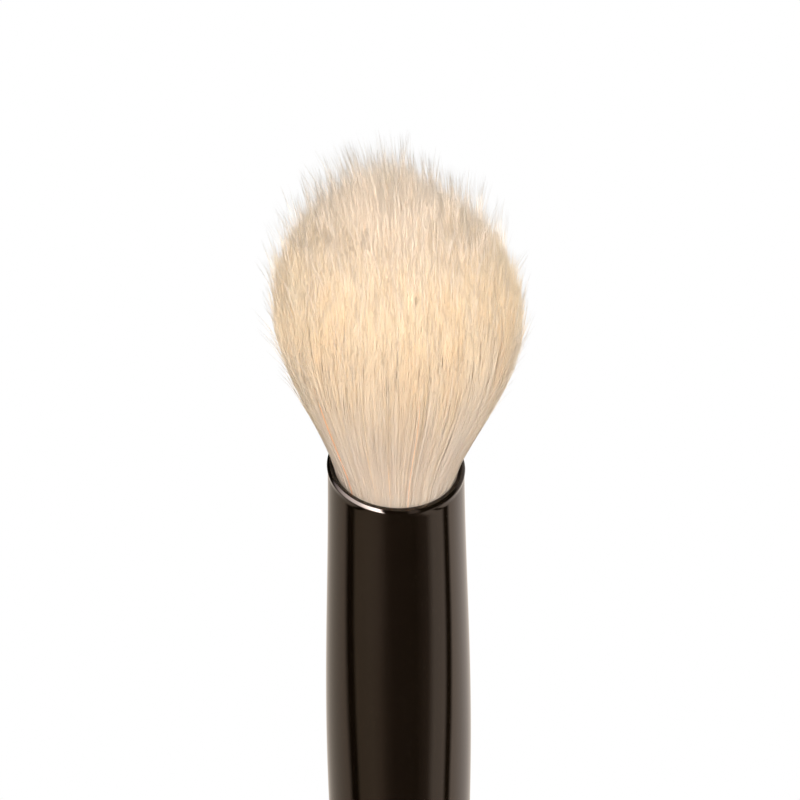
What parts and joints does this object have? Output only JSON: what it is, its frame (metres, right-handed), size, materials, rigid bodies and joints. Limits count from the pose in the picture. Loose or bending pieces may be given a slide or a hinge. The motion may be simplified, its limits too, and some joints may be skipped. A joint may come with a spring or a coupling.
{
  "type": "eyeshadow brush",
  "caption": "Slim make-up brush with a fluffy slanted hair head, a crimped glossy ferrule cut at a slant and a tapered lacquered handle.",
  "frame": {"origin": "centre of the small flat on the tail of the handle", "axes": "+Z along the brush from the tail to the head; the mouth of the ferrule is low at the front, which is -Y; +X is to the right of someone who faces the front"},
  "size_m": [0.0155, 0.0156, 0.1541],
  "materials": {
    "handle_lacquer": "deep gloss lacquer over turned wood, brown-black",
    "ferrule_enamel": "high-gloss brown-black enamel on drawn brass",
    "glue": "cured amber glue",
    "resin": "cured amber resin",
    "set_hair": "hair root ends set hard in resin",
    "thread": "waxed cotton",
    "hair": "soft cream and honey coloured hair with fine tips"
  },
  "bodies": {
    "root": {"handle": "handle_lacquer", "tenon_glue": "glue", "ferrule": "ferrule_enamel", "resin_plug": "resin", "root_bundle": "set_hair", "binding_thread": "thread", "hair_tuft": "hair"}
  },
  "joints": []
}
